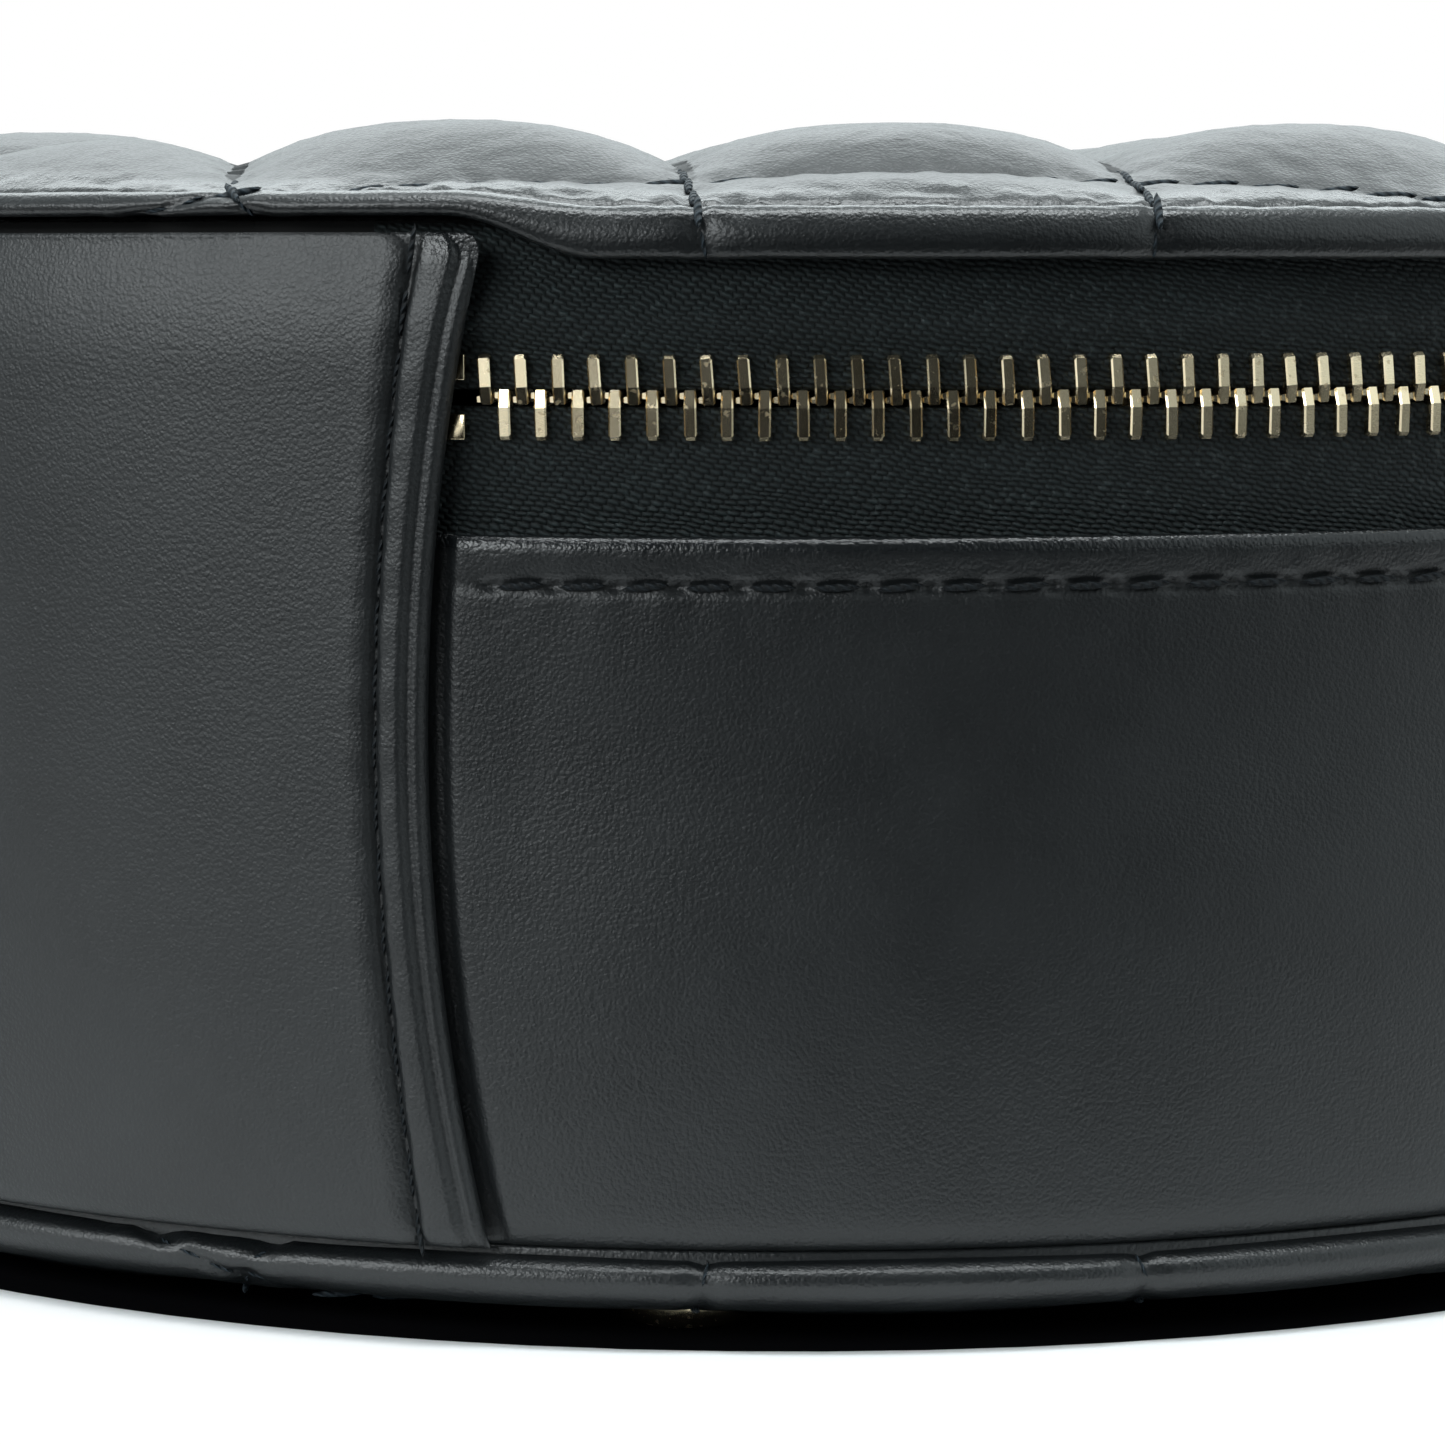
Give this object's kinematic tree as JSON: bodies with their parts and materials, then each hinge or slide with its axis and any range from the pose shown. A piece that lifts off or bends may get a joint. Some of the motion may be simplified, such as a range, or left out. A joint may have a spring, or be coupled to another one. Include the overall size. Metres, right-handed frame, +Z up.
{
  "type": "jewellery case",
  "caption": "Round quilted leather jewellery case with a zip running round it, a leather hinge panel, a mirror in the lid, ring rolls and compartments.",
  "frame": {"origin": "on the floor under the centre of the round case, at the flat undersides of the feet", "axes": "+Z up, +Y towards the hinge panel, +X to the side where the zip closes"},
  "size_m": [0.168, 0.1688, 0.0669],
  "materials": {
    "quilted_leather": "soft satin nappa, black, quilted in squares with black thread",
    "smooth_leather": "soft satin nappa, black, with fine pores",
    "suede": "dark grey brushed suede",
    "zip_tape": "black woven twill tape",
    "gilt_metal": "polished pale gold plating",
    "greyboard": "plain bookbinder's board, hidden",
    "foam": "dark upholstery foam, hidden",
    "mirror": "silvered glass"
  },
  "bodies": {
    "case_body": {"base_cover": "quilted_leather", "base_feet": "gilt_metal", "base_foam": "foam", "base_board": "greyboard", "wall_board": "greyboard", "body_panel": "smooth_leather", "wall_lining": "suede", "floor_pad": "suede", "hinge_panel": "smooth_leather", "hinge_stiffener": "greyboard", "hinge_lining": "suede", "zipper_tape_lower": "zip_tape", "zipper_teeth_lower": "gilt_metal", "zipper_stops_lower": "gilt_metal", "long_divider": "suede", "cross_dividers": "suede", "ring_bed": "suede", "ring_rolls": "suede"},
    "lid": {"lid_cover": "quilted_leather", "lid_foam": "foam", "lid_board": "greyboard", "lid_lining": "suede", "mirror_frame": "gilt_metal", "mirror_glass": "mirror", "zipper_tape_upper": "zip_tape", "zipper_teeth_upper": "gilt_metal", "zipper_stops_upper": "gilt_metal"},
    "slider": {"slider_body": "gilt_metal", "slider_bridge": "gilt_metal"},
    "pull": {"pull_link": "gilt_metal", "pull_tab": "smooth_leather", "pull_stud": "gilt_metal"}
  },
  "joints": [
    {"name": "lid_hinge", "type": "hinge", "parent": "case_body", "child": "lid", "pos_m": [0, 0.0851, 0.0611], "axis": [-1, 0, 0], "range_deg": [0, 105], "deforming": ["zipper_tape_upper"]},
    {"name": "slider_travel", "type": "hinge", "parent": "case_body", "child": "slider", "pos_m": [0, 0, 0.052], "axis": [0, 0, -1], "range_deg": [0, 295], "deforming": ["zipper_teeth_upper", "zipper_teeth_lower"]},
    {"name": "pull_swing", "type": "hinge", "parent": "slider", "child": "pull", "pos_m": [0.04538, 0.07246, 0.052], "axis": [0.8475, -0.5308, 0], "range_deg": [0, 160]}
  ]
}
